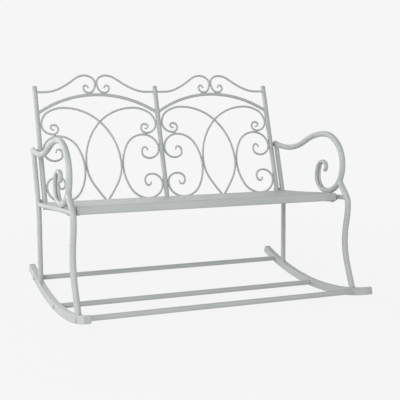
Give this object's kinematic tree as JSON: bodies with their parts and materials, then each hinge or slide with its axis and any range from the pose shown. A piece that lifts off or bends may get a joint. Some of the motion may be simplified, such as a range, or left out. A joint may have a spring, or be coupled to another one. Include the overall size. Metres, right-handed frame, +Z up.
{
  "type": "rocking bench",
  "caption": "Two-seat metal rocking bench on curved rockers, with a slatted seat, a scrolled open back and curled arms.",
  "frame": {"origin": "on the floor, midway between the bench's front and rear and between its sides", "axes": "+Z up, +X to the right as seen from the front, +Y to the rear"},
  "size_m": [1.2412, 1.03, 0.9287],
  "materials": {
    "paint": "pale grey-green powder coat",
    "cap_plastic": "pale grey-green moulded plastic",
    "fasteners": "painted with the frame"
  },
  "bodies": {
    "root": {"rocker_left": "paint", "front_leg_left": "paint", "rear_leg_left": "paint", "arm_left": "paint", "side_rail_left": "paint", "rocker_right": "paint", "front_leg_right": "paint", "rear_leg_right": "paint", "arm_right": "paint", "side_rail_right": "paint", "front_stretcher": "paint", "middle_stretcher": "paint", "rear_stretcher": "paint", "seat_front_rail": "paint", "seat_rear_rail": "paint", "seat_end_bar_left": "paint", "seat_end_bar_right": "paint", "seat_bearer_left": "paint", "seat_bearer_right": "paint", "seat_slat_1": "paint", "seat_slat_2": "paint", "seat_slat_3": "paint", "seat_slat_4": "paint", "seat_slat_5": "paint", "seat_slat_6": "paint", "seat_slat_7": "paint", "seat_slat_8": "paint", "post_left": "paint", "post_centre": "paint", "post_right": "paint", "arch_left": "paint", "bottom_rail_left": "paint", "crest_scroll_left_a": "paint", "crest_scroll_left_b": "paint", "crossing_scroll_left_a": "paint", "crossing_scroll_left_b": "paint", "side_scroll_left_a": "paint", "side_scroll_left_b": "paint", "arch_right": "paint", "bottom_rail_right": "paint", "crest_scroll_right_a": "paint", "crest_scroll_right_b": "paint", "crossing_scroll_right_a": "paint", "crossing_scroll_right_b": "paint", "side_scroll_right_a": "paint", "side_scroll_right_b": "paint", "rocker_end_caps": "cap_plastic", "rocker_bolts": "fasteners", "rocker_washers": "fasteners", "stretcher_plugs": "cap_plastic", "post_caps": "cap_plastic", "back_bolts": "fasteners", "back_nuts": "fasteners", "back_tabs": "paint", "seat_lugs": "paint", "frame_lugs": "paint", "seat_bolts": "fasteners", "seat_nuts": "fasteners"}
  },
  "joints": []
}
